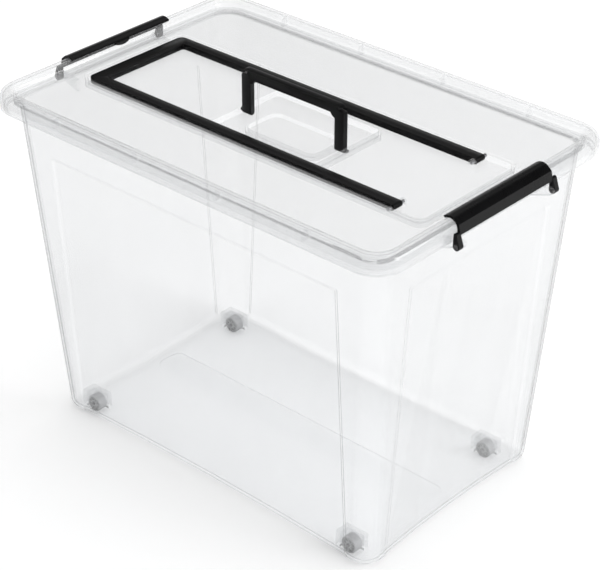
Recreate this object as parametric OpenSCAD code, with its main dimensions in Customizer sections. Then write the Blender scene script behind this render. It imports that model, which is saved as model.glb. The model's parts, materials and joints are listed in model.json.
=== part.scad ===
// Portable file box: a tapered clear tub on four rollers, a lift-off lid with a
// folding carry handle and a long pull handle, and a hinged clip at each end.
// Millimetres. +X runs along the box, towards the pull handle's hinge, and +Z is up.
// The origin is on the floor, under the middle of the box.

/* [Lid] */
// Length over the lid's skirt
lid_l = 440; // [420:1:470]
// Width over the lid's skirt
lid_w = 296; // [280:1:320]
// Corner radius of the skirt, seen from above
lid_r = 28; // [24:1:32]
// Thickness of the skirt, the bead and the walls of the recesses
lid_t = 2.2; // [1.8:0.1:2.6]
// Thickness of the flat panel
panel_t = 2.5; // [2:0.1:3]
// Width of the round bead that runs round the panel
bead_w = 14; // [13:0.5:15]
// Height of the bead above the panel
bead_rise = 10; // [9:0.5:11]
// How far the skirt hangs below the tub's flange
skirt_drop = 3.5; // [3:0.5:5]
// Thickness of the webs inside the bead
web_t = 1.6; // [1:0.1:2.2]
// Distance between neighbouring webs along a long side
web_pitch = 93; // [80:1:100]

/* [Tub] */
// Height of the flange's top above the floor
tub_h = 312.5; // [290:0.5:330]
// Thickness of the walls
wall_t = 2.2; // [1.8:0.1:2.8]
// Thickness of the floor
floor_t = 2.6; // [2:0.1:3.5]
// How far each wall leans in between the flange and the base
wall_lean = 19.5; // [14:0.5:22]
// How far the middle of each base edge is drawn in
base_bow = 3.8; // [0:0.2:5]
// Corner radius of the tub, seen from above
tub_r = 18; // [15:0.5:21]
// Rounding between the walls and the base
base_round = 6; // [5:0.5:7]
// Gap between the base and the ground
ground_gap = 1.5; // [1:0.1:2.5]
// Reach of the flange beyond the walls
flange_reach = 11.4; // [10.5:0.1:12.5]
// Thickness of the flange and its lip
flange_t = 2.2; // [1.8:0.1:2.8]
// Height of the flange's down-turned lip
flange_lip = 6; // [5:0.5:8]
// Gap between the flange's lip and the lid's skirt
rim_gap = 0.9; // [0.5:0.1:1.2]
// Depth of the ledge below the flange's top
ledge_drop = 40.5; // [30:0.5:60]
// Depth of the wall panels below the ledge
ledge_in = 1.2; // [0.6:0.1:1.8]
// Width of the corner posts beside the wall panels
corner_post = 46; // [42:1:50]
// Width of the raised strip along the floor
strip_w = 30; // [20:1:40]
// Height of that strip
strip_h = 1.4; // [0.8:0.1:2]
// Length of that strip
strip_l = 328; // [300:1:340]
// Corner radius of that strip
strip_r = 8; // [4:1:9]

/* [Pull handle] */
// Distance of its hinge pins from the lid's right-hand end
hinge_inset = 65.3; // [60:0.1:70]
// Distance of its grip from the lid's left-hand end
grip_inset = 29.7; // [28:0.1:34]
// Width over the two rails
pull_w = 116; // [112:1:120]
// Width of each rail
rail_w = 11; // [9:0.5:12]
// Width of the grip
grip_w = 13; // [11:0.5:15]
// Thickness of the rails and the grip
pull_t = 5.6; // [5:0.1:6]
// Outer corner radius
pull_r = 6; // [4:0.5:8]
// Diameter of the hinge pins
hinge_pin_d = 3; // [2.4:0.1:3.2]

/* [Carry handle] */
// Width over the two legs
carry_w = 104; // [98:1:108]
// Height from the pivot to the top of the grip
carry_h = 41; // [36:0.5:42]
// Width of each leg
leg_w = 9; // [8:0.5:11]
// Height of the grip
bar_h = 9.5; // [8:0.5:11]
// Thickness of the handle
carry_t = 5; // [4.4:0.1:5.4]
// Outer corner radius
carry_r = 7; // [5:0.5:9]
// Diameter of the pivot stubs
stub_d = 3.2; // [2.6:0.1:3.4]

/* [Lid recesses] */
// Gap under the pull handle in its tray
tray_under = 0.4; // [0.3:0.1:1]
// Gap round the pull handle in its tray
tray_gap = 2.5; // [2:0.1:3]
// Room that the tray leaves past the hinge pins
tray_runout = 31.8; // [28:0.1:34]
// Corner radius of the tray
tray_r = 8; // [6:0.5:10]
// Width of the shallow border round the tray
border_w = 3; // [2:0.5:4]
// Depth of that border
border_depth = 0.9; // [0.5:0.1:1.2]
// Room over and under the folded carry handle in its bay
bay_room = 1; // [0.8:0.1:1.6]
// Gap beside the carry handle's legs in the bay
bay_gap = 6.5; // [5:0.5:8]
// Length of the finger well
well_l = 78; // [66:1:84]
// Width of the finger well
well_w = 40; // [34:1:50]
// Depth of the finger well, below the bay
well_depth = 4; // [3:0.5:8]
// Corner radius of the finger well
well_r = 8; // [6:0.5:10]

/* [Clips] */
// Length of a clip's crown
clip_l = 118; // [105:1:126]
// Thickness of a clip
clip_t = 3; // [2.6:0.1:3.4]
// Gap between a closed clip and the lid's bead
clip_gap = 0.45; // [0.35:0.05:0.6]
// Distance of the pivot outside the lid's skirt
pivot_out = 3.8; // [3.6:0.1:4.4]
// Distance of the pivot below the skirt's edge
pivot_drop = 3; // [2.5:0.1:3.5]
// Diameter of the pivot pins
pivot_d = 4; // [3.4:0.1:4.2]
// Width of the round tab on the clip's lip
tab_w = 16; // [12:1:20]
// Length over which the lip is cut back at each end
lip_notch = 7; // [4:0.5:10]

/* [Rollers] */
// Diameter of a roller
roller_d = 16; // [14:0.5:17]
// Width of a roller
roller_w = 9; // [8:0.5:10]
// Wall of a roller's rim
roller_rim = 1.8; // [1.2:0.1:2.6]
// Depth of the ring-shaped recess in each face of a roller
roller_recess = 2.2; // [1:0.1:3]
// Diameter of an axle
axle_d = 3; // [2.4:0.1:3.6]
// Distance of the rollers from the base's ends
roller_end = 30; // [28:0.5:34]
// Distance of the front rollers from the base's front edge
roller_front = 15; // [13.5:0.5:18]
// Distance of the back rollers from the base's back edge
roller_back = 29; // [24:0.5:32]

/* [Hidden] */

$fn = 48;
hull_fn = 32;
running_gap = 0.05;
side_gap = 0.4;
pin_seat = 1.8;
chamfer = 0.4;
over = 1;

clear_colour = [0.90, 0.92, 0.93, 0.35];
black = [0.05, 0.05, 0.055];
roller_grey = [0.62, 0.63, 0.64];
steel = [0.75, 0.76, 0.78];

// Heights
skirt_z = tub_h - skirt_drop;
panel_top = tub_h + panel_t;
bead_top = panel_top + bead_rise;
bead_r = bead_w / 2;
bead_z = bead_top - bead_r;
tray_z = panel_top - pull_t - tray_under;
bay_z = tray_z - carry_t - bay_room;
well_z = bay_z - well_depth;
ledge_z = tub_h - ledge_drop;
floor_z = ground_gap + floor_t;

// Tub outline at the flange, as half length, half width
panel_run = 2;
flange_x = lid_l / 2 - lid_t - rim_gap;
flange_y = lid_w / 2 - lid_t - rim_gap;
flange_r = lid_r - lid_t - rim_gap;
rim_x = flange_x - flange_reach;
rim_y = flange_y - flange_reach;
base_x = rim_x - wall_lean;
base_y = rim_y - wall_lean;

// Pull handle
pull_hinge_x = lid_l / 2 - hinge_inset;
grip_x = grip_inset - lid_l / 2;
pull_reach = pull_hinge_x - grip_x;
pull_pin_z = panel_top - pull_t / 2;
pull_bottom_z = panel_top - pull_t;
pull_inner_r = 2.5;
hinge_ear_w = 4.2;

// Tray, from the pull handle that lies in it
tray_x0 = grip_x - tray_gap;
tray_x1 = pull_hinge_x + tray_runout;
tray_y = pull_w / 2 + tray_gap;
inner_y = pull_w / 2 - rail_w;
pin_y0 = inner_y - side_gap - hinge_ear_w;
hinge_pin_l = tray_y + pin_seat - pin_y0;

// Bay and pivot of the carry handle
bay_x = carry_w / 2 + bay_gap;
bay_y = carry_h + carry_t / 2 + side_gap;
carry_pivot_z = (bay_z + tray_z) / 2;
bay_r = 4;
stub_x = bay_x + pin_seat;
carry_inner_r = 3.5;

// Clip section: the bead's centre and the clip's pivot
lip_lift = 2;
foot_lift = 2;
bead_x = lid_l / 2 - bead_r;
pivot_x = lid_l / 2 + pivot_out;
pivot_z = skirt_z - pivot_drop;
hook_r = bead_r + clip_gap;
lip_r = norm([pivot_x - bead_x, pivot_z - bead_z]) + hook_r;
lip_angle = atan2(bead_z - pivot_z, bead_x - pivot_x);
lip_end_z = panel_top + lip_lift;
lip_end_angle = 180 - asin((lip_end_z - pivot_z) / lip_r);
clip_foot_z = skirt_z + foot_lift;
clip_flare = 2;
notch_bevel = 3;
tab_reach = 4.5;
tab_t = 2;
cheek_w = 5;
cheek_r = 3.3;
lug_w = 4;
lug_r = 3;
lug_h = 10;
pin_proud = 1;

// Rollers
roller_x = base_x - roller_end;
roller_front_y = -base_y + roller_front;
roller_back_y = base_y - roller_back;
roller_z = roller_d / 2;
pocket_gap = 1.2;
pocket_t = 2.4;
pocket_x = roller_d / 2 + pocket_gap;
pocket_y = roller_w / 2 + side_gap;
pocket_top = roller_d + pocket_gap;
axle_seat = 1.7;
hub_t = 1.7;
axle_l = 2 * (pocket_y + axle_seat);
snap = 0.45;

// Points of an arc
function arc(centre, r, from, to, steps) = [
    for (i = [0:steps]) let (a = from + (to - from) * i / steps) centre + r * [cos(a), sin(a)]];

// A point turned by k quarter turns
function turned(p, k) = k == 0 ? p : k == 1 ? [-p.y, p.x] : k == 2 ? -p : [p.y, -p.x];

// Where a side's points lie, for a wall panel that ends at e
function stations(e) = [-e - panel_run, -e, -e / 2, 0, e / 2, e, e + panel_run];

// One level of the tub: a rounded rectangle with drawn-in sides and panels
function level(hx, hy, r, z, bow, panel) = [
    for (k = [0:3])
        let (
            d = k % 2 == 0 ? hx : hy,
            s = (k % 2 == 0 ? hy : hx) - r,
            e = (k % 2 == 0 ? rim_y : rim_x) - corner_post,
            side = [for (q = stations(e))
                [d - bow * (1 - pow(q / s, 2)) - (abs(q) <= e ? panel : 0), q]],
            corner = arc([d - r, s], r, 0, 90, 6)
        )
        for (p = concat(side, corner)) concat(turned(p, k), z)];

// A level of the tub's outside, pulled in by inset, at height z
function tub_level(z, inset, panel) =
    let (u = (z - ground_gap) / (tub_h - ground_gap))
    level(base_x + wall_lean * u - inset, base_y + wall_lean * u - inset, tub_r - inset,
        z, base_bow * (1 - u), panel);

// All levels of the outside (t = 0) or of the inside (t = wall_t)
function tub_levels(t, bottom) = concat(
    [for (a = [0:30:90])
        tub_level(bottom + (base_round - t) * (1 - cos(a)), t + (base_round - t) * (1 - sin(a)),
            ledge_in)],
    [tub_level(ledge_z - ledge_in, t, ledge_in),
        tub_level(ledge_z, t, 0),
        tub_level(tub_h + (t > 0 ? over : 0), t, 0)]);

// A solid through stacked levels round the Z axis, each with the same number of points.
// Its two ends are fans about the axis, because the drawn-in outlines aren't convex.
module loft(levels) {
    n = len(levels[0]);
    top = len(levels) - 1;
    hub = n * (top + 1);
    polyhedron(
        concat([for (l = levels) each l], [[0, 0, levels[0][0].z], [0, 0, levels[top][0].z]]),
        concat(
            [for (i = [0:n - 1]) [hub, i, (i + 1) % n]],
            [for (i = [0:n - 1]) [hub + 1, top * n + (i + 1) % n, top * n + i]],
            [for (j = [0:top - 1]) for (i = [0:n - 1])
                let (a = j * n + i, b = j * n + (i + 1) % n)
                each [[a, a + n, b + n], [a, b + n, b]]]));
}

// A plate with rounded corners, from its half sizes, between two heights
module plate(hx, hy, r, z0, z1) {
    translate([0, 0, z0]) linear_extrude(z1 - z0) {
        square([2 * (hx - r), 2 * hy], center = true);
        square([2 * hx, 2 * (hy - r)], center = true);
        for (x = [-1, 1], y = [-1, 1]) translate([x * (hx - r), y * (hy - r)]) circle(r);
    }
}

// A plate between two x positions, centred on y
module plate_from(x0, x1, hy, r, z0, z1) {
    translate([(x0 + x1) / 2, 0, 0]) plate((x1 - x0) / 2, hy, r, z0, z1);
}

// A round bar along Y
module bar_y(x, y0, y1, z, d) {
    translate([x, y0, z]) rotate([-90, 0, 0]) cylinder(d = d, h = y1 - y0);
}

// A pin along Y with chamfered ends
module pin_y(x, y0, y1, z, d) {
    r = d / 2;
    l = y1 - y0;
    translate([x, y0, z]) rotate([-90, 0, 0]) rotate_extrude()
        polygon([[0, 0], [r - chamfer, 0], [r, chamfer], [r, l - chamfer], [r - chamfer, l], [0, l]]);
}

// A round bar along X
module bar_x(x0, x1, y, z, d) {
    translate([x0, y, z]) rotate([0, 90, 0]) cylinder(d = d, h = x1 - x0);
}

// The children and their mirror image across the box
module both_sides() {
    children();
    mirror([0, 1, 0]) children();
}

// A section drawn in X and Z, run along Y
module along_y(y0, y1) {
    translate([0, y1, 0]) rotate([90, 0, 0]) linear_extrude(y1 - y0) children();
}

// ---- Tub ----

module flange() {
    difference() {
        plate(flange_x, flange_y, flange_r, tub_h - flange_lip, tub_h);
        plate(flange_x - flange_t, flange_y - flange_t, flange_r - flange_t,
            tub_h - flange_lip - over, tub_h - flange_t);
        plate(rim_x - wall_t / 2, rim_y - wall_t / 2, tub_r, tub_h - flange_t - over, tub_h + over);
    }
}

// A closed box over each roller; it starts inside the floor's thickness
module roller_pocket() {
    hx = pocket_x + pocket_t;
    hy = pocket_y + pocket_t;
    z0 = ground_gap + floor_t / 2;
    translate([-hx, -hy, z0]) cube([2 * hx, 2 * hy, pocket_top + pocket_t - z0]);
}

// Room for a roller, with a snap-in slot on each side for its axle
module roller_pocket_cut() {
    translate([0, 0, pocket_top / 2])
        cube([2 * pocket_x, 2 * pocket_y, pocket_top], center = true);
    translate([0, 0, roller_z / 2])
        cube([axle_d - snap, axle_l + 2 * running_gap, roller_z], center = true);
    bar_y(0, -axle_l / 2 - running_gap, axle_l / 2 + running_gap, roller_z,
        axle_d + running_gap);
}

module at_rollers() {
    for (x = [-1, 1], y = [roller_front_y, roller_back_y]) translate([x * roller_x, y, 0]) children();
}

// Two lugs with pivot pins for the clip at the right-hand end
module clip_lugs() {
    y0 = clip_l / 2 - lug_w - side_gap;
    both_sides() {
        along_y(y0, y0 + lug_w) hull() {
            translate([pivot_x, pivot_z]) circle(lug_r, $fn = hull_fn);
            translate([rim_x - wall_t / 2, pivot_z - lug_h]) square([wall_t / 2, lug_h]);
        }
        bar_y(pivot_x, y0 + lug_w / 2, clip_l / 2 + cheek_w + pin_proud, pivot_z, pivot_d);
    }
}

module tub() {
    color(clear_colour) difference() {
        union() {
            difference() {
                loft(tub_levels(0, ground_gap));
                loft(tub_levels(wall_t, floor_z));
            }
            flange();
            at_rollers() roller_pocket();
            plate(strip_l / 2, strip_w / 2, strip_r, floor_z - over, floor_z + strip_h);
            clip_lugs();
            rotate([0, 0, 180]) clip_lugs();
        }
        at_rollers() roller_pocket_cut();
    }
}

// ---- Lid ----

// Section of the skirt and bead; x = 0 is the skirt's outer face and x falls inwards
module rim_section() {
    c = [-bead_r, bead_z];
    polygon(concat(
        [[0, skirt_z]],
        arc(c, bead_r, 0, 180, 14),
        [[-bead_w, tub_h], [lid_t - bead_w, tub_h]],
        arc(c, bead_r - lid_t, 180, 0, 14),
        [[-lid_t, skirt_z]]));
}

module rim_corner() {
    rotate_extrude(angle = 90) translate([lid_r, 0]) rim_section();
}

module rim() {
    sx = lid_l / 2 - lid_r;
    sy = lid_w / 2 - lid_r;
    for (k = [0:3]) {
        s = k % 2 == 0 ? [sx, sy] : [sy, sx];
        rotate([0, 0, 90 * k]) {
            translate([s.x, s.y, 0]) rim_corner();
            translate([s.x + lid_r, 0, 0]) along_y(-s.y, s.y) rim_section();
        }
    }
}

// Four webs inside the bead on each long side
module bead_webs() {
    r = bead_r - lid_t / 2;
    for (i = [-1.5:1.5], side = [-1, 1])
        translate([i * web_pitch - web_t / 2, side * (lid_w / 2 - bead_r), 0])
            rotate([90, 0, 90]) linear_extrude(web_t)
                polygon(concat(arc([0, bead_z], r, 0, 180, 12),
                    [[-r, tub_h + side_gap], [r, tub_h + side_gap]]));
}

// Ear that holds the inner end of a hinge pin
module hinge_ear() {
    y0 = inner_y - side_gap - hinge_ear_w;
    translate([pull_hinge_x - pull_t / 2, y0, tray_z - over])
        cube([pull_t, hinge_ear_w, pull_pin_z - tray_z + over]);
    bar_y(pull_hinge_x, y0, y0 + hinge_ear_w, pull_pin_z, pull_t);
}

module lid() {
    color(clear_colour) difference() {
        union() {
            rim();
            plate(lid_l / 2 - bead_w + lid_t / 2, lid_w / 2 - bead_w + lid_t / 2,
                lid_r - bead_w + lid_t / 2, tub_h, panel_top);
            plate_from(tray_x0 - lid_t, tray_x1 + lid_t, tray_y + lid_t, tray_r + lid_t,
                tray_z - lid_t, panel_top);
            plate(bay_x + lid_t, bay_y + lid_t, bay_r + lid_t, bay_z - lid_t, tray_z);
            plate(well_l / 2 + lid_t, well_w / 2 + lid_t, well_r + lid_t, well_z - lid_t, bay_z);
            bead_webs();
        }
        difference() {
            union() {
                plate_from(tray_x0, tray_x1, tray_y, tray_r, tray_z, panel_top + over);
                plate_from(tray_x0 - border_w, tray_x1 + border_w, tray_y + border_w,
                    tray_r + border_w, panel_top - border_depth, panel_top + over);
            }
            both_sides() hinge_ear();
        }
        plate(bay_x, bay_y, bay_r, bay_z, tray_z + over);
        plate(well_l / 2, well_w / 2, well_r, well_z, bay_z + over);
        both_sides() bar_y(pull_hinge_x, pin_y0 - over, pin_y0 + hinge_pin_l, pull_pin_z,
            hinge_pin_d + running_gap);
        bar_x(-stub_x, stub_x, 0, carry_pivot_z, stub_d + 2 * running_gap);
    }
}

// ---- Handles ----

module pull_outline() {
    far = pull_hinge_x + over;
    difference() {
        translate([(grip_x + far + pull_r) / 2, 0]) {
            square([far - grip_x - pull_r, pull_w], center = true);
            translate([-pull_r, 0]) square([far - grip_x - pull_r, pull_w - 2 * pull_r], center = true);
        }
        translate([grip_x + grip_w + pull_inner_r, -inner_y]) square([pull_reach, 2 * inner_y]);
        translate([grip_x + grip_w, pull_inner_r - inner_y])
            square([pull_reach, 2 * (inner_y - pull_inner_r)]);
        for (side = [-1, 1])
            translate([grip_x + grip_w + pull_inner_r, side * (inner_y - pull_inner_r)])
                circle(pull_inner_r);
        translate([pull_hinge_x, -pull_w]) square([pull_w, 2 * pull_w]);
    }
    for (side = [-1, 1])
        translate([grip_x + pull_r, side * (pull_w / 2 - pull_r)]) circle(pull_r);
}

module pull_handle() {
    color(black) difference() {
        union() {
            translate([0, 0, pull_bottom_z]) linear_extrude(pull_t) pull_outline();
            both_sides() bar_y(pull_hinge_x, inner_y, pull_w / 2, pull_pin_z, pull_t);
        }
        both_sides() bar_y(pull_hinge_x, inner_y - over, pull_w / 2 + over, pull_pin_z,
            hinge_pin_d + 2 * running_gap);
    }
}

module hinge_pin() {
    color(steel) pin_y(pull_hinge_x, pin_y0, pin_y0 + hinge_pin_l - running_gap, pull_pin_z,
        hinge_pin_d);
}

module carry_outline() {
    top = carry_pivot_z + carry_h;
    difference() {
        translate([0, carry_pivot_z]) {
            translate([-carry_w / 2, 0]) square([carry_w, carry_h - carry_r]);
            translate([carry_r - carry_w / 2, 0]) square([carry_w - 2 * carry_r, carry_h]);
        }
        translate([leg_w - carry_w / 2, carry_pivot_z - over])
            square([carry_w - 2 * leg_w, carry_h - bar_h - carry_inner_r + over]);
        translate([leg_w + carry_inner_r - carry_w / 2, carry_pivot_z - over])
            square([carry_w - 2 * (leg_w + carry_inner_r), carry_h - bar_h + over]);
        for (side = [-1, 1])
            translate([side * (carry_w / 2 - leg_w - carry_inner_r), top - bar_h - carry_inner_r])
                circle(carry_inner_r);
    }
    for (side = [-1, 1]) translate([side * (carry_w / 2 - carry_r), top - carry_r]) circle(carry_r);
}

module carry_handle() {
    color(black) {
        along_y(-carry_t / 2, carry_t / 2) carry_outline();
        for (side = [0, 1]) mirror([side, 0, 0]) {
            bar_x(carry_w / 2 - leg_w, carry_w / 2, 0, carry_pivot_z, carry_t);
            bar_x(carry_w / 2 - over, stub_x - running_gap, 0, carry_pivot_z, stub_d);
        }
    }
}

// ---- Clips ----

// Section of the crown at the right-hand end: it hooks over the bead, and its lip
// runs on an arc about the pivot so that it swings clear
module crown_section() {
    pivot = [pivot_x, pivot_z];
    bead = [bead_x, bead_z];
    polygon(concat(
        arc(pivot, lip_r, lip_end_angle, lip_angle, 5),
        arc(bead, hook_r, lip_angle, 0, 14),
        [[bead_x + hook_r, clip_foot_z], [bead_x + hook_r + clip_t + clip_flare, clip_foot_z]],
        arc(bead, hook_r + clip_t, 0, lip_angle, 14),
        arc(pivot, lip_r + clip_t, lip_angle, lip_end_angle, 5)));
}

// Half-round tab that lifts the lip
module lip_tab() {
    tip_x = pivot_x + (lip_r + clip_t / 2) * cos(lip_end_angle);
    intersection() {
        translate([tip_x + tab_w / 2 - tab_reach, 0, lip_end_z]) cylinder(d = tab_w, h = tab_t);
        translate([tip_x - tab_w, -tab_w, lip_end_z]) cube([tab_w, 2 * tab_w, tab_t]);
    }
}

// Room over the bead's top where the lip is cut back, with a bevelled end
module lip_notch_cut() {
    y0 = clip_l / 2 - lip_notch;
    x0 = bead_x - 2 * hook_r - clip_t;
    translate([0, 0, lip_end_z - over]) linear_extrude(bead_top - panel_top + clip_t)
        polygon([[x0, y0], [bead_x - notch_bevel, y0], [bead_x, y0 + notch_bevel],
            [bead_x, clip_l / 2 + over], [x0, clip_l / 2 + over]]);
}

module clip_cheek() {
    along_y(clip_l / 2, clip_l / 2 + cheek_w) hull() {
        translate([pivot_x, pivot_z]) circle(cheek_r, $fn = hull_fn);
        translate([bead_x + hook_r + clip_t / 2, bead_z]) circle(clip_t / 2, $fn = hull_fn);
    }
}

module clip() {
    color(black) difference() {
        union() {
            along_y(-clip_l / 2, clip_l / 2) crown_section();
            lip_tab();
            both_sides() clip_cheek();
        }
        both_sides() {
            lip_notch_cut();
            bar_y(pivot_x, clip_l / 2 - 2 * over, clip_l / 2 + cheek_w + over, pivot_z,
                pivot_d + 2 * running_gap);
        }
    }
}

// ---- Rollers ----

// A rim and a hub joined by a web; the lower half of its section mirrors the upper half
module roller(x, y) {
    r = roller_d / 2;
    w = roller_w / 2;
    bore = axle_d / 2 + running_gap;
    web = w - roller_recess;
    half = [[bore, w], [bore + hub_t, w], [bore + hub_t, web], [r - roller_rim, web],
        [r - roller_rim, w], [r - chamfer, w], [r, w - chamfer]];
    color(roller_grey) translate([x, y, roller_z]) rotate([90, 0, 0]) rotate_extrude()
        polygon(concat([for (p = half) [p.x, -p.y]],
            [for (i = [len(half) - 1:-1:0]) half[i]]));
}

module axle(x, y) {
    color(steel) pin_y(x, y - axle_l / 2, y + axle_l / 2, roller_z, axle_d);
}

tub();
lid();
pull_handle();
mirror([0, 1, 0]) hinge_pin();  // hinge_pin_front
hinge_pin();  // hinge_pin_back
carry_handle();
mirror([1, 0, 0]) clip();  // clip_left
clip();  // clip_right
roller(-roller_x, roller_front_y);  // roller_front_left
roller(roller_x, roller_front_y);  // roller_front_right
roller(-roller_x, roller_back_y);  // roller_back_left
roller(roller_x, roller_back_y);  // roller_back_right
axle(-roller_x, roller_front_y);  // axle_front_left
axle(roller_x, roller_front_y);  // axle_front_right
axle(-roller_x, roller_back_y);  // axle_back_left
axle(roller_x, roller_back_y);  // axle_back_right
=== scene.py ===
# %% [markdown]
# # A portable file box in clear and black plastic
# The box is a clear tub with a clear lid, two black end clips, a long black pull handle,
# a short black carry handle and four small rollers. The solid model is loaded first, as a
# fixed frame. It says where every piece is, and this file gives the pieces their looks.

import json
import math

import bmesh
import bpy
from mathutils import Euler, Matrix, Vector

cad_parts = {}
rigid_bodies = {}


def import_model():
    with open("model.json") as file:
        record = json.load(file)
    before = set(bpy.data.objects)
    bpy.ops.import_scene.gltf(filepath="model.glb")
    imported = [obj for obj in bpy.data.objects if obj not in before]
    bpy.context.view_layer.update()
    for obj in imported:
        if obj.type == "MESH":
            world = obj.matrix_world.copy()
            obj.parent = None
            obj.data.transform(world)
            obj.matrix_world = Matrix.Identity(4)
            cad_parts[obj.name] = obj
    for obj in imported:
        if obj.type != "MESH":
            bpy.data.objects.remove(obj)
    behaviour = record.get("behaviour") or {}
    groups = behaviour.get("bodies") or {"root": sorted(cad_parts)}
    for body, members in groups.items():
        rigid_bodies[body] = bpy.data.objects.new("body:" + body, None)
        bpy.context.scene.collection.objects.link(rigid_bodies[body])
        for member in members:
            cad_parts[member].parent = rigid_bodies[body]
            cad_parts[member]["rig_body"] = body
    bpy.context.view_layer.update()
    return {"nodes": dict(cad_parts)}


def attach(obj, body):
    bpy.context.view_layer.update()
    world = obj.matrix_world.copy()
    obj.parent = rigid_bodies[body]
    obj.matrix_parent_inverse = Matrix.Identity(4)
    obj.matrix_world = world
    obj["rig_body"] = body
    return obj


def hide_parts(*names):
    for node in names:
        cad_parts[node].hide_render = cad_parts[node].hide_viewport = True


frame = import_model()
nodes = frame["nodes"]
scene = bpy.context.scene
MM = 0.001

# %% [markdown]
# ## The camera
# The photograph looks down at a corner of the box by about thirty degrees, with a long
# lens, so upright edges stay nearly parallel. A camera that turns about a target needs
# only two angles and a distance, which is easier to match with a photograph than three
# free rotations.

# %% Camera
VIEW_AZIMUTH = math.radians(41.98)
VIEW_HEIGHT = math.radians(31.13)
VIEW_ROLL = math.radians(0.14)
VIEW_DISTANCE = 1.7418
VIEW_TARGET = Vector((0.0208, -0.0147, 0.1684))
SENSOR_W = 36.0
FOCAL_IN_WIDTHS = 3.357
SEES_TO = 30

turn = Euler((math.pi / 2 - VIEW_HEIGHT, 0, VIEW_AZIMUTH)).to_matrix()
turn = turn @ Matrix.Rotation(VIEW_ROLL, 3, "Z")
camera_data = bpy.data.cameras.new("camera")
camera_data.sensor_width = SENSOR_W
camera_data.lens = SENSOR_W * FOCAL_IN_WIDTHS
camera_data.clip_end = SEES_TO
camera = bpy.data.objects.new("camera", camera_data)
camera.matrix_world = Matrix.Translation(
    VIEW_TARGET + turn @ Vector((0, 0, VIEW_DISTANCE))) @ turn.to_4x4()
scene.collection.objects.link(camera)
scene.camera = camera
print("camera at", [round(v, 3) for v in camera.matrix_world.translation])

# %% [markdown]
# ## Writing materials as sums
# A material is a graph of nodes. Wrapping each output socket in a small class lets Python's
# own operators add the Math nodes, so a recipe reads like a formula.

# %% Wires
class Wire:
    """An output socket in a node tree, with arithmetic."""

    def __init__(self, graph, socket):
        self.graph, self.socket = graph, socket

    def math(self, operation, *others, clamp=False):
        settings = {"operation": operation, "use_clamp": clamp}
        return self.graph.add("ShaderNodeMath", settings, **{
            str(i): v for i, v in enumerate((self, *others))})

    def __add__(self, other):
        return self.math("ADD", other)

    __radd__ = __add__

    def __mul__(self, other):
        return self.math("MULTIPLY", other)

    __rmul__ = __mul__

    def __sub__(self, other):
        return self.math("SUBTRACT", other)

    def __rsub__(self, other):
        return self * -1.0 + other

    def __truediv__(self, other):
        return self.math("DIVIDE", other)

    def __rtruediv__(self, other):
        return (self ** -1.0) * other

    def __pow__(self, other):
        return self.math("POWER", other)

    def clamp(self):
        return self.math("ADD", 0.0, clamp=True)


print("wires can be added, multiplied, subtracted, divided and raised to powers")

# %% Graphs
class Graph:
    """A node tree that is being wired up."""

    def __init__(self, tree):
        self.tree = tree
        tree.nodes.clear()

    def add(self, kind, settings=None, out=0, **inputs):
        """Add any node. A key that is a number means the input at that place."""
        node = self.tree.nodes.new(kind)
        for key, value in (settings or {}).items():
            setattr(node, key, value)
        for key, value in inputs.items():
            socket = node.inputs[int(key) if key.isdigit() else key.replace("_", " ")]
            for item in value if isinstance(value, list) else [value]:
                if isinstance(item, Wire):
                    self.tree.links.new(item.socket, socket)
                else:
                    socket.default_value = item
        return Wire(self, node.outputs[out]) if len(node.outputs) else None

    def noise(self, scale, detail=2.0, stretch=(1, 1, 1)):
        """Noise in the piece's own space; scale is in patterns per metre."""
        place = self.add("ShaderNodeTexCoord", out="Object")
        place = self.add("ShaderNodeMapping", Vector=place, Scale=stretch)
        return self.add("ShaderNodeTexNoise", Vector=place, Scale=scale, Detail=detail)

    def colours(self, a, b, share):
        """Colour a where share is 0, colour b where it is 1."""
        return self.add("ShaderNodeMix", {"data_type": "RGBA"}, out=2,
                        **{"0": share, "6": (*a, 1), "7": (*b, 1)})

    def bump(self, height, depth_mm):
        return self.add("ShaderNodeBump", Height=height, Strength=1.0,
                        Distance=depth_mm * MM)


def new_material(name):
    material = bpy.data.materials.new(name)
    material.use_nodes = True
    return material, Graph(material.node_tree)


print("node helpers ready")

# %% [markdown]
# ## Clear plastic
# Moulded polypropylene is clear with a slight milky haze. Looked at straight on, a wall
# hides little of what is behind it. Looked at along the wall, light crosses more plastic,
# so rims, corners and ribs read as grey lines. Real refraction would need a lot of light
# bounces through the many walls of a box, so the haze and the grey edge are mixed over a
# Transparent shader by how steeply each face is seen. Volume Absorption darkens the long
# ways through the plastic. Along the tub's rounded foot a soft dark line of painted shade
# stands in for the shadow seen through the plastic there. The cover counts half in
# shadows, because clear plastic throws only a faint one.

# %% Clear plastic
FOOT_SHADE_FROM, FOOT_SHADE_FULL = 4.5 * MM, 2.5 * MM
FLAT_POWER = 6.0
EDGE_POWER, EDGE_COVER = 4.0, 0.9
GREY_POWER = 3.0
SHINE_POWER, SHINE_EDGE, SHINE_FLAT = 5.0, 0.5, 0.03
CLOUDING, SHADOW_LOSS = 0.5, 0.5
CLEAR_ROUGH, CLEAR_SPECULAR, CLEAR_GLOSS_ROUGH = 0.35, 0.3, 0.08
CLEAR_GRAIN_MM = 0.004
CLEAR_TINT = (0.994, 0.995, 0.996, 1)
DEPTH_TINT = (0.80, 0.81, 0.82, 1)


def foot_line(g, strength):
    """Painted shade on the rounded foot: low down, on the outside, and fading where it is
    level.
    """
    height = g.add("ShaderNodeSeparateXYZ", out=2,
                   Vector=g.add("ShaderNodeTexCoord", out="Object"))
    low = g.add("ShaderNodeMapRange", Value=height, From_Min=FOOT_SHADE_FROM, From_Max=FOOT_SHADE_FULL)
    normal = g.add("ShaderNodeNewGeometry", out="Normal")
    flat = g.add("ShaderNodeSeparateXYZ", out=2, Vector=normal).math("ABSOLUTE")
    turned_out = 1.0 - g.add("ShaderNodeNewGeometry", out="Backfacing")
    return low * (1.0 - flat ** FLAT_POWER) * turned_out * strength


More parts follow.
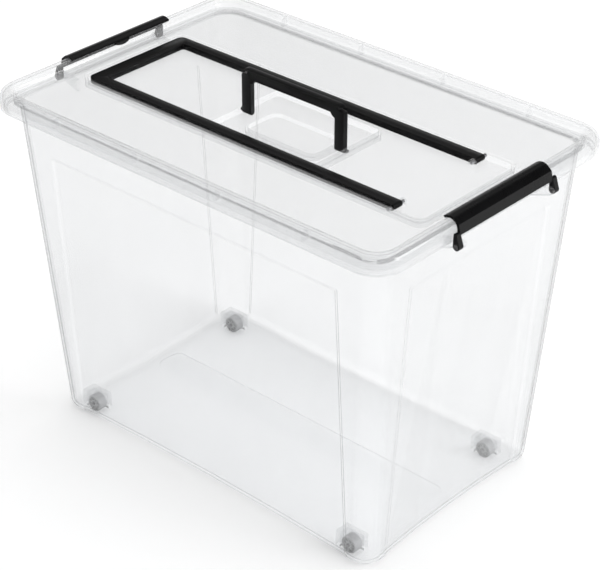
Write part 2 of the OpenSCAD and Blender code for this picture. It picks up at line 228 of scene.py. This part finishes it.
def clear_plastic(name, haze, edge_grey, body_grey, depth_grey, foot_shade_strength=0.0):
    """Clear to look through, grey along its edges; the last argument paints shade on the
    rounded foot.
    """
    material, g = new_material(name)
    facing = g.add("ShaderNodeLayerWeight", out="Facing", Blend=0.5)
    cloud = g.noise(scale=6.0, detail=3.0)
    grain = g.bump(g.noise(scale=220.0, detail=1.0), CLEAR_GRAIN_MM)
    shadow = g.add("ShaderNodeLightPath", out="Is Shadow Ray")
    # painted shade: a soft, greyer and less clear band along the tub's rounded foot
    foot = foot_line(g, foot_shade_strength)
    edge = facing ** EDGE_POWER * EDGE_COVER + foot
    cover = (edge + haze + (cloud - 0.5) * (haze * CLOUDING)).clamp()
    colour = g.colours((body_grey,) * 3, (edge_grey,) * 3,
                       (facing ** GREY_POWER + foot).clamp())
    wall = g.add("ShaderNodeBsdfPrincipled", Base_Color=colour, Roughness=CLEAR_ROUGH,
                 Specular_IOR_Level=CLEAR_SPECULAR, Normal=grain)
    through = g.add("ShaderNodeBsdfTransparent", Color=CLEAR_TINT)
    body = g.add("ShaderNodeMixShader", **{
        "0": cover * (1.0 - shadow * SHADOW_LOSS), "1": through, "2": wall})
    gloss = g.add("ShaderNodeBsdfGlossy", Color=(1, 1, 1, 1), Roughness=CLEAR_GLOSS_ROUGH,
                  Normal=grain)
    surface = g.add("ShaderNodeMixShader", **{
        "0": facing ** SHINE_POWER * SHINE_EDGE + SHINE_FLAT, "1": body, "2": gloss})
    depth = g.add("ShaderNodeVolumeAbsorption", Color=DEPTH_TINT, Density=depth_grey)
    g.add("ShaderNodeOutputMaterial", Surface=surface, Volume=depth)
    return material


# the tub's last argument paints shade along its rounded foot
tub_plastic = clear_plastic("tub_plastic", haze=0.03, edge_grey=0.20, body_grey=0.86,
                            depth_grey=60.0, foot_shade_strength=0.75)
lid_plastic = clear_plastic("lid_plastic", haze=0.045, edge_grey=0.50, body_grey=0.90,
                            depth_grey=35.0)
print("clear plastics:", tub_plastic.name, lid_plastic.name)

# %% [markdown]
# ## Black plastic
# The handles and clips are dyed black and moulded with a fine satin grain. Black plastic
# shows its shape almost only by what it reflects, so the roughness matters more than the
# colour.

# %% Black plastic
BLACK_FRESH, BLACK_WORN = (0.002, 0.002, 0.0022), (0.006, 0.006, 0.0065)
BLACK_SPECULAR = 0.13
WEAR_SWING, SCUFF_SWING = 0.16, 0.10


def black_plastic(name, grain_mm, roughness):
    material, g = new_material(name)
    grain = g.noise(scale=1500.0, detail=2.0)
    wear = g.noise(scale=35.0, detail=4.0)
    scuffs = g.noise(scale=260.0, detail=3.0, stretch=(0.15, 1, 1))
    rough = (wear - 0.5) * WEAR_SWING + (scuffs - 0.5) * SCUFF_SWING + roughness
    shader = g.add("ShaderNodeBsdfPrincipled", Roughness=rough,
                   Base_Color=g.colours(BLACK_FRESH, BLACK_WORN, wear),
                   Specular_IOR_Level=BLACK_SPECULAR, Normal=g.bump(grain, grain_mm))
    g.add("ShaderNodeOutputMaterial", Surface=shader)
    return material


handle_black = black_plastic("handle_black", grain_mm=0.02, roughness=0.36)
clip_black = black_plastic("clip_black", grain_mm=0.015, roughness=0.30)
print("black plastics:", handle_black.name, clip_black.name)

# %% [markdown]
# ## Roller plastic and steel
# The rollers are natural grey plastic, dull from use at the tread. The pins and axles are
# plain drawn wire, so their fine scratches run along the bar.

# %% Roller plastic and steel
ROLLER_DARK, ROLLER_PALE = (0.42, 0.42, 0.43), (0.70, 0.70, 0.71)
STEEL_DARK, STEEL_PALE = (0.24, 0.24, 0.25), (0.38, 0.38, 0.39)
ROLLER_BUMP_MM, STEEL_BUMP_MM = 0.03, 0.01
ROLLER_ROUGH, ROLLER_SWING = 0.3, 0.3
STEEL_ROUGH, STEEL_SWING = 0.25, 0.2


def roller_plastic():
    material, g = new_material("roller_plastic")
    dirt = g.noise(scale=160.0, detail=4.0)
    shader = g.add("ShaderNodeBsdfPrincipled", Roughness=dirt * ROLLER_SWING + ROLLER_ROUGH,
                   Base_Color=g.colours(ROLLER_DARK, ROLLER_PALE, dirt),
                   Normal=g.bump(dirt, ROLLER_BUMP_MM))
    g.add("ShaderNodeOutputMaterial", Surface=shader)
    return material


def drawn_steel():
    material, g = new_material("drawn_steel")
    lines = g.noise(scale=900.0, detail=2.0, stretch=(1, 0.05, 1))
    shader = g.add("ShaderNodeBsdfPrincipled", Metallic=1.0,
                   Roughness=lines * STEEL_SWING + STEEL_ROUGH,
                   Base_Color=g.colours(STEEL_DARK, STEEL_PALE, lines),
                   Normal=g.bump(lines, STEEL_BUMP_MM))
    g.add("ShaderNodeOutputMaterial", Surface=shader)
    return material


roller_grey = roller_plastic()
steel = drawn_steel()
print("roller and pin materials:", roller_grey.name, steel.name)

# %% [markdown]
# ## Dressing the solids
# A solid from CAD has dead-sharp edges. A moulded part never has: its small edge radii are
# what catches the light. The handles and the rollers are copied, their triangles are merged
# back into flat faces, and a Bevel modifier rounds the edges. The copy then stands for the
# solid.

# %% Rounded copies
SAME_POINT_MM = 0.002
FLAT_WITHIN = math.radians(0.5)
SHARP_FROM = math.radians(30)
PULL_EDGE_MM, CARRY_EDGE_MM, CLIP_EDGE_MM, WHEEL_EDGE_MM = 0.8, 0.7, 0.35, 0.25


def merged_copy(node, name):
    """A copy of a solid's mesh with shared corners and whole flat faces."""
    mesh = nodes[node].data.copy()
    mesh.name = name
    mesh.materials.clear()
    bm = bmesh.new()
    bm.from_mesh(mesh)
    bmesh.ops.remove_doubles(bm, verts=bm.verts, dist=SAME_POINT_MM * MM)
    bmesh.ops.dissolve_limit(bm, angle_limit=FLAT_WITHIN, verts=bm.verts, edges=bm.edges)
    bm.to_mesh(mesh)
    bm.free()
    piece = bpy.data.objects.new(name, mesh)
    scene.collection.objects.link(piece)
    return piece


def finish_piece(piece, node, radius_mm, material, detail=None):
    """Round the edges, bake the modifiers and let the piece stand for its solid."""
    for face in piece.data.polygons:
        face.use_smooth = True
    bevel = piece.modifiers.new("edges", "BEVEL")
    bevel.width = radius_mm * MM
    bevel.segments = 2
    bevel.limit_method = "ANGLE"
    bevel.angle_limit = SHARP_FROM
    bevel.harden_normals = True
    if detail:
        detail(piece)
    bpy.context.view_layer.update()
    final = bpy.data.meshes.new_from_object(
        piece.evaluated_get(bpy.context.evaluated_depsgraph_get()))
    piece.modifiers.clear()
    piece.data = final
    final.materials.clear()
    final.materials.append(material)
    body = nodes[node]["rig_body"]
    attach(piece, body)
    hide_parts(node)
    print(piece.name, "has", len(final.polygons), "faces and rides on", body)


finish_piece(merged_copy("pull_handle", "pull_handle_grip"), "pull_handle", PULL_EDGE_MM,
             handle_black)

# %% [markdown]
# ## Carry handle
# The short handle on the photograph is a little wider and stouter than the solid's, so its
# copy is widened leg by leg. The tips of the stubs at its feet keep their place in the
# lid. A narrow band of corners keeps its place too. In this solid the band falls on the
# arc of each outer corner and leaves a dent there, which is a fault.

# %% Carry handle
LEG_OUT, LEG_IN, STOUTER = 5.3, 4.3, 1.1
STUB_TIPS, OUTER_SIDE, INNER_SIDE = 58, 44, 30
KEPT_FROM, KEPT_TO = 50.5, 51.9


def widened(piece):
    """Move a handle's corners outwards in X by which side of a leg they are on."""
    for corner in piece.data.vertices:
        x, y, z = corner.co / MM
        reach = abs(x)
        if reach > STUB_TIPS or KEPT_FROM < reach < KEPT_TO:
            continue
        step = LEG_OUT if reach > OUTER_SIDE else LEG_IN if reach > INNER_SIDE else 0
        corner.co = Vector((x + math.copysign(step, x), y * STOUTER, z)) * MM
    return piece


finish_piece(widened(merged_copy("carry_handle", "carry_handle_grip")), "carry_handle",
             CARRY_EDGE_MM, handle_black)

# %% [markdown]
# ## Clips
# A clip is a thin shell, curved over the lid's round bead and a little past its crest, so
# that it snaps on. From a ridge on its outside it drops to a free edge for the fingers. A
# half-round tongue in its middle runs on down the bead for the thumb. An ear at each end
# carries the pivot. The shell is one section pushed along the box's width, which is how its
# mould would be drawn too. Sizes are in millimetres and angles in degrees from level.

# %% Clip sizes
BEAD_X, BEAD_Z, BEAD_R = 213.0, 318.0, 7.0
PIVOT_X, PIVOT_Z, PIVOT_R = 223.8, 306.0, 2.05
CLIP_L, CLIP_T, CLIP_GAP = 118.0, 2.2, 0.45
HOOK_TO, TONGUE_TO, TONGUE_W = 130.0, 154.0, 17.0
FOOT_Z, FOOT_T = 314.5, 3.4
BROW_FROM, RIDGE = 60.0, (9.0, 4.8)
EAR_W, EAR_R, EAR_TIP = 5.0, 3.3, (222.3, 315.8, 1.6)
INNER_STEPS, OUTER_STEPS, EAR_STEPS, EAR_AROUND = 22, 14, 60, 48
INTO_EAR = 0.2
TONGUE_ROWS, TONGUE_COLS = 10, 8
TONGUE_UNDER, TONGUE_BLUNT, TONGUE_THINS = 4, 0.985, 0.4
print("a clip is", CLIP_L + 2 * EAR_W, "mm long over its ears")

# %% Sections
def on_bead(radius, degrees):
    a = math.radians(degrees)
    return BEAD_X + radius * math.cos(a), BEAD_Z + radius * math.sin(a)


def sweep(start, stop, steps):
    return [start + (stop - start) * i / steps for i in range(steps + 1)]


def prism(bm, outline, y0, y1):
    """The side walls of a solid from an outline in X and Z; gives back its two rims."""
    ends = [[bm.verts.new((x * MM, y * MM, z * MM)) for x, z in outline] for y in (y0, y1)]
    count = len(outline)
    for i in range(count):
        j = (i + 1) % count
        bm.faces.new((ends[0][i], ends[0][j], ends[1][j], ends[1][i]))
    return ends


print("the bead's crest is at", on_bead(BEAD_R, 90))

# %% Shell and tongue
def shell(bm):
    under, over = BEAD_R + CLIP_GAP, BEAD_R + CLIP_GAP + CLIP_T
    inner = [on_bead(under, a) for a in sweep(HOOK_TO, 0, INNER_STEPS)]
    outer = [on_bead(over, a) for a in sweep(BROW_FROM, HOOK_TO, OUTER_STEPS)]
    foot_x = BEAD_X + BEAD_R + CLIP_GAP
    free_edge = [(foot_x, FOOT_Z), (foot_x + FOOT_T, FOOT_Z),
                 (BEAD_X + RIDGE[0], BEAD_Z + RIDGE[1])]
    half = CLIP_L / 2 + INTO_EAR
    for end in prism(bm, inner + free_edge + outer, -half, half):
        bm.faces.new(end)


def tongue(bm):
    """A half-round flap: rows along the bead get narrower towards the tip."""
    rows = []
    for a in sweep(HOOK_TO - TONGUE_UNDER, TONGUE_TO, TONGUE_ROWS):
        share = max(0.0, (a - HOOK_TO) / (TONGUE_TO - HOOK_TO))
        half = TONGUE_W / 2 * math.sqrt(max(0.0, 1 - min(share, TONGUE_BLUNT) ** 2))
        under = BEAD_R + CLIP_GAP
        over = BEAD_R + CLIP_GAP + CLIP_T * (1 - TONGUE_THINS * share)
        rows.append([[bm.verts.new((x * MM, y * half * MM, z * MM))
                      for y in sweep(-1, 1, TONGUE_COLS)]
                     for x, z in (on_bead(under, a), on_bead(over, a))])
    for (low0, top0), (low1, top1) in zip(rows, rows[1:]):
        for k in range(TONGUE_COLS):
            bm.faces.new((low0[k], low0[k + 1], low1[k + 1], low1[k]))
            bm.faces.new((top0[k], top1[k], top1[k + 1], top0[k + 1]))
        bm.faces.new((low0[0], low1[0], top1[0], top0[0]))
        bm.faces.new((low0[-1], top0[-1], top1[-1], low1[-1]))
    for low, top in (rows[0], rows[-1]):
        for k in range(TONGUE_COLS):
            bm.faces.new((low[k], top[k], top[k + 1], low[k + 1]))


print("the tongue ends at", [round(v, 1) for v in on_bead(BEAD_R + CLIP_GAP, TONGUE_TO)])

# %% Ears
def ear_reach(angle):
    """How far the ear's outline lies from the pivot in one direction."""
    tip_x, tip_z, tip_r = EAR_TIP
    step = Vector((math.cos(angle), math.sin(angle)))
    reach = EAR_R
    for t in sweep(0, 1, EAR_STEPS):
        centre = Vector(((tip_x - PIVOT_X) * t, (tip_z - PIVOT_Z) * t))
        radius = EAR_R + (tip_r - EAR_R) * t
        along = centre.dot(step)
        room = radius ** 2 - (centre.length_squared - along ** 2)
        if room > 0:
            reach = max(reach, along + math.sqrt(room))
    return reach


def bore_reach(_):
    return PIVOT_R


def ear(bm, y0, y1):
    """A flat plate with a round bore for the pivot."""
    angles = [math.tau * i / EAR_AROUND for i in range(EAR_AROUND)]
    outside, bore = [prism(bm, [(PIVOT_X + reach(a) * math.cos(a),
                                 PIVOT_Z + reach(a) * math.sin(a)) for a in angles], y0, y1)
                     for reach in (ear_reach, bore_reach)]
    for far, near in zip(outside, bore):
        for i in range(EAR_AROUND):
            j = (i + 1) % EAR_AROUND
            bm.faces.new((far[i], far[j], near[j], near[i]))


print("an ear reaches", round(ear_reach(math.pi / 2), 2), "mm up from its pivot")

# %% Two clips
def clip_piece(side, name):
    bm = bmesh.new()
    shell(bm)
    tongue(bm)
    ear(bm, CLIP_L / 2, CLIP_L / 2 + EAR_W)
    ear(bm, -CLIP_L / 2 - EAR_W, -CLIP_L / 2)
    if side == "left":
        bmesh.ops.scale(bm, vec=(-1, 1, 1), verts=bm.verts)
    bmesh.ops.recalc_face_normals(bm, faces=bm.faces)
    mesh = bpy.data.meshes.new(name)
    bm.to_mesh(mesh)
    bm.free()
    piece = bpy.data.objects.new(name, mesh)
    scene.collection.objects.link(piece)
    return piece


for side in ("left", "right"):
    finish_piece(clip_piece(side, f"clip_{side}_shell"), "clip_" + side, CLIP_EDGE_MM,
                 clip_black)

# %% [markdown]
# ## Spokes in the rollers
# A small moulded wheel keeps its walls thin: a rim and a hub, tied by short spokes in a
# ring-shaped recess on each face. The spokes repeat round the axle, so Geometry Nodes make
# one spoke, set a copy on each point of a circle, turn it outwards and join the ring to the
# wheel. The tree's named inputs are the sizes a designer would change.

# %% Spoke tree
def spoke_tree():
    tree = bpy.data.node_groups.new("roller_spokes", "GeometryNodeTree")
    g = Graph(tree)
    socket = tree.interface.new_socket
    socket("Geometry", in_out="INPUT", socket_type="NodeSocketGeometry")
    socket("Spokes", in_out="INPUT", socket_type="NodeSocketInt")
    for name in ("Inner", "Outer", "Width", "Depth", "Reach"):
        socket(name, in_out="INPUT", socket_type="NodeSocketFloat")
    socket("Middle", in_out="INPUT", socket_type="NodeSocketVector")
    socket("Plastic", in_out="INPUT", socket_type="NodeSocketMaterial")
    socket("Geometry", in_out="OUTPUT", socket_type="NodeSocketGeometry")
    source = tree.nodes.new("NodeGroupInput")
    given = {o.name: Wire(g, o) for o in source.outputs if o.name}

    spoke = g.add("GeometryNodeMeshCube", Size=g.add(
        "ShaderNodeCombineXYZ", X=given["Outer"] - given["Inner"], Y=given["Width"],
        Z=given["Depth"]))
    faces = [g.add("GeometryNodeTransform", Geometry=spoke, Translation=g.add(
        "ShaderNodeCombineXYZ", Z=given["Reach"] * sign)) for sign in (1.0, -1.0)]
    ring = g.add("GeometryNodeMeshCircle", Vertices=given["Spokes"],
                 Radius=(given["Outer"] + given["Inner"]) / 2.0)
    place = g.add("GeometryNodeInputPosition")
    x = g.add("ShaderNodeSeparateXYZ", out=0, Vector=place)
    y = g.add("ShaderNodeSeparateXYZ", out=1, Vector=place)
    turned = g.add("FunctionNodeEulerToRotation", Euler=g.add(
        "ShaderNodeCombineXYZ", Z=y.math("ARCTAN2", x)))
    spokes = g.add("GeometryNodeInstanceOnPoints", Points=ring, Rotation=turned,
                   Instance=g.add("GeometryNodeJoinGeometry", Geometry=faces))
    placed = g.add("GeometryNodeTransform", Geometry=spokes, Translation=given["Middle"],
                   Rotation=(math.pi / 2, 0, 0))
    joined = g.add("GeometryNodeJoinGeometry", Geometry=[given["Geometry"], placed])
    solid = g.add("GeometryNodeRealizeInstances", Geometry=joined)
    g.add("NodeGroupOutput", Geometry=g.add(
        "GeometryNodeSetMaterial", Geometry=solid, Material=given["Plastic"]))
    return tree


roller_spokes = spoke_tree()
print("spoke tree has", len(roller_spokes.nodes), "nodes")

# %% Rollers
ROLLER_D, ROLLER_W, ROLLER_RIM = 16.0, 9.0, 1.8
HUB_R, RECESS, SPOKES = 3.25, 2.2, 8
SPOKE_W, SPOKE_BURIED, SPOKE_SUNK = 0.7, 0.3, 0.3


def with_spokes(piece):
    corners = [Vector(c) for c in piece.bound_box]
    values = {
        "Spokes": SPOKES, "Width": SPOKE_W * MM, "Depth": RECESS * MM,
        "Inner": (HUB_R - SPOKE_BURIED) * MM,
        "Outer": (ROLLER_D / 2 - ROLLER_RIM + SPOKE_BURIED) * MM,
        "Reach": (ROLLER_W - RECESS - 2 * SPOKE_SUNK) / 2 * MM,
        "Middle": sum(corners, Vector()) / len(corners), "Plastic": roller_grey}
    modifier = piece.modifiers.new("spokes", "NODES")
    modifier.node_group = roller_spokes
    for item in roller_spokes.interface.items_tree:
        if item.in_out == "INPUT" and item.name in values:
            modifier[item.identifier] = values[item.name]


for side in ("front", "back"):
    for end in ("left", "right"):
        place = f"{side}_{end}"
        wheel = merged_copy("roller_" + place, "wheel_" + place)
        finish_piece(wheel, "roller_" + place, WHEEL_EDGE_MM, roller_grey,
                     detail=with_spokes)

# %% [markdown]
# ## Solids that keep their own mesh
# The tub's and the lid's large radii are in the solid model, and of the pins and axles
# little more than the ends can be seen. These pieces only get a material.

# %% Solids
def dress(node, material):
    piece = nodes[node]
    piece.data.materials.clear()
    piece.data.materials.append(material)


dress("tub", tub_plastic)
dress("lid", lid_plastic)
for side in ("front", "back"):
    dress("hinge_pin_" + side, steel)
    for end in ("left", "right"):
        dress(f"axle_{side}_{end}", steel)
print("solids dressed")

# %% [markdown]
# ## Floor and light
# The photograph was taken on a white sweep under soft light. The floor is a plain pale
# sheet that takes the shadow. It glows a little for the camera, evenly. It glows more
# where it is seen through the tub: painted light that lightens the tub's shadow over and
# near the base, in place of the light a milky base spreads. Both the floor and the world
# are white to the camera and lower as a lamp, so that pale plastic does not burn out. In
# reflections the world is white near the horizon and dark overhead, which keeps the black
# plastic black on top.

# %% Floor
FLOOR_HALF = 4.0
FLOOR_AS_LAMP, FLOOR_SEEN = (0.75, 0.75, 0.75), (1.0, 1.0, 1.0)
# the second and third are painted light on the floor, over and near the tub's base
FLOOR_LIFT, UNDER_PAINTED_LIGHT, NEAR_PAINTED_LIGHT = 0.10, 0.20, 0.10
BASE_HALF = (0.186, 0.114)
UNDER_FADE, NEAR_FADE = (0.01, -0.02), (0.16, 0.0)
WALLS_TO_FULL = 2.0


def base_mask(g, place, fade):
    """1 over the tub's base and 0 away from it; fade says where that starts and ends."""
    mask = 1.0
    for axis, half in enumerate(BASE_HALF):
        off = g.add("ShaderNodeSeparateXYZ", out=axis, Vector=place).math("ABSOLUTE")
        mask = g.add("ShaderNodeMapRange", Value=off, From_Min=half + fade[0],
                     From_Max=half + fade[1]) * mask
    return mask


def floor_material():
    material, g = new_material("floor_white")
    seen, shiny, glassy, walls = [g.add("ShaderNodeLightPath", out=name) for name in (
        "Is Camera Ray", "Is Glossy Ray", "Is Transmission Ray", "Transparent Depth")]
    matt = g.add("ShaderNodeBsdfDiffuse", Color=g.colours(
        FLOOR_AS_LAMP, FLOOR_SEEN, (seen + shiny + glassy).clamp()))
    place = g.add("ShaderNodeTexCoord", out="Object")
    under, near = base_mask(g, place, UNDER_FADE), base_mask(g, place, NEAR_FADE)
    through = (walls / WALLS_TO_FULL).clamp()
    # painted light: where the floor is seen through the tub, over and near its base, the
    # glow grows and lightens the tub's shadow
    glow_and_painted_light = seen * (through * (under * UNDER_PAINTED_LIGHT + near * NEAR_PAINTED_LIGHT) + FLOOR_LIFT)
    glow = g.add("ShaderNodeEmission", Color=glow_and_painted_light, Strength=1.0)
    g.add("ShaderNodeOutputMaterial", Surface=g.add(
        "ShaderNodeAddShader", **{"0": matt, "1": glow}))
    return material


floor_mesh = bpy.data.meshes.new("floor")
floor_mesh.from_pydata(
    [(x * FLOOR_HALF, y * FLOOR_HALF, 0) for x, y in ((-1, -1), (1, -1), (1, 1), (-1, 1))],
    [], [(0, 1, 2, 3)])
floor_mesh.materials.append(floor_material())
floor = bpy.data.objects.new("floor", floor_mesh)
scene.collection.objects.link(floor)
print("floor is", 2 * FLOOR_HALF, "m wide")

# %% World
WORLD_LAMP = 0.75
DARK_ABOVE = 0.08
DARK_FROM, DARK_FULL = 0.15, 0.45


def white_world():
    """White to the eye; in reflections white near the horizon and dark overhead."""
    world = bpy.data.worlds.new("white_world")
    world.use_nodes = True
    g = Graph(world.node_tree)
    seen, shiny, glassy = [g.add("ShaderNodeLightPath", out=name) for name in (
        "Is Camera Ray", "Is Glossy Ray", "Is Transmission Ray")]
    up = g.add("ShaderNodeSeparateXYZ", out=2,
               Vector=g.add("ShaderNodeTexCoord", out="Generated"))
    high = g.add("ShaderNodeMapRange", Value=up, From_Min=DARK_FROM, From_Max=DARK_FULL)
    mirrored = high * (DARK_ABOVE - 1.0) + 1.0
    plain = (seen + glassy).clamp()
    lamp = shiny * mirrored + (1.0 - shiny) * WORLD_LAMP
    light = g.add("ShaderNodeBackground", Color=(1, 1, 1, 1),
                  Strength=plain + (1.0 - plain) * lamp)
    g.add("ShaderNodeOutputWorld", Surface=light)
    return world


scene.world = white_world()
print("world lamp strength", WORLD_LAMP)

# %% Lamps
LAMP_AIM = Vector((0, 0, 0.15))


def soft_lamp(name, place, size, power):
    data = bpy.data.lights.new(name, "AREA")
    data.shape = "SQUARE"
    data.size = size
    data.energy = power
    lamp = bpy.data.objects.new(name, data)
    lamp.location = place
    lamp.rotation_euler = (LAMP_AIM - Vector(place)).to_track_quat("-Z", "Y").to_euler()
    scene.collection.objects.link(lamp)


soft_lamp("side_box", (2.2, 1.0, 1.0), size=1.4, power=26)
soft_lamp("top_box", (-0.6, 0.8, 2.4), size=2.0, power=12)

# %% Settings and sizes
MOST_WALLS = 48

scene.view_settings.view_transform = "Standard"
scene.cycles.transparent_max_bounces = MOST_WALLS
